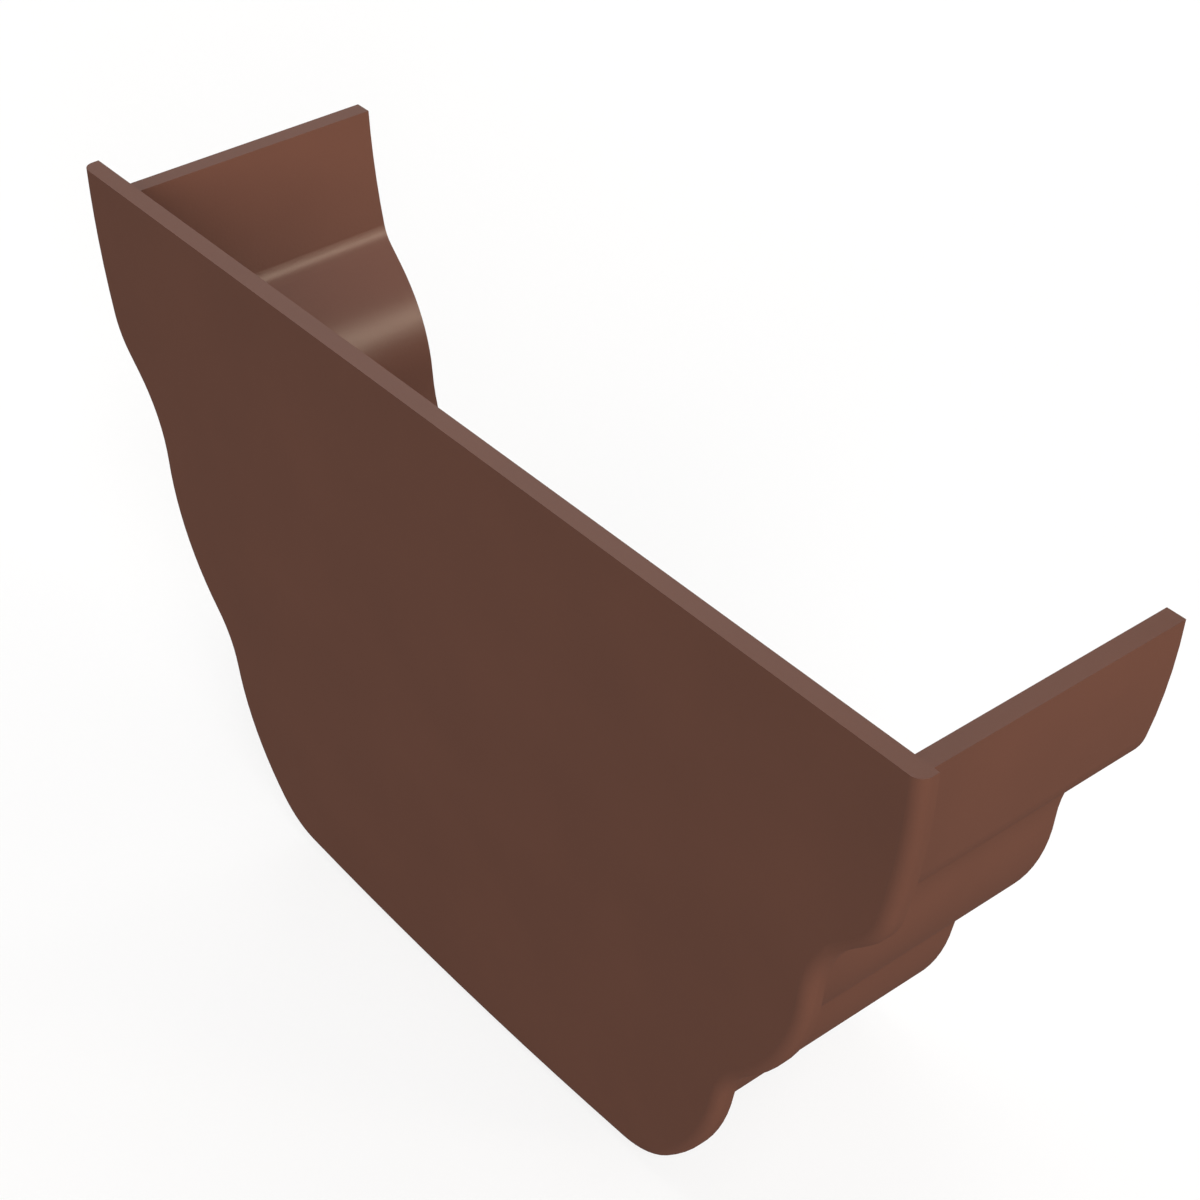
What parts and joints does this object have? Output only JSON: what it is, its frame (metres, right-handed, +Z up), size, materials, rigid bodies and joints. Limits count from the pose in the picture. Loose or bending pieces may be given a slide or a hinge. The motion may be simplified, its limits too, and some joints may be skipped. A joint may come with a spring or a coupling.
{
  "type": "gutter end cap",
  "caption": "Plastic end cap for a figured gutter: a flat plate in the gutter's outline closes the end, and a thin open-topped spigot of the same section on its back slides into the gutter.",
  "frame": {"origin": "centre of the underside of the bounding box", "axes": "+X along the plate, +Y from the plate into the gutter, +Z up to the open top"},
  "size_m": [0.15, 0.0402, 0.0883],
  "materials": {
    "brown_plastic": "smooth moulded brown plastic with a soft sheen"
  },
  "bodies": {
    "root": {"end_cap": "brown_plastic"}
  },
  "joints": []
}
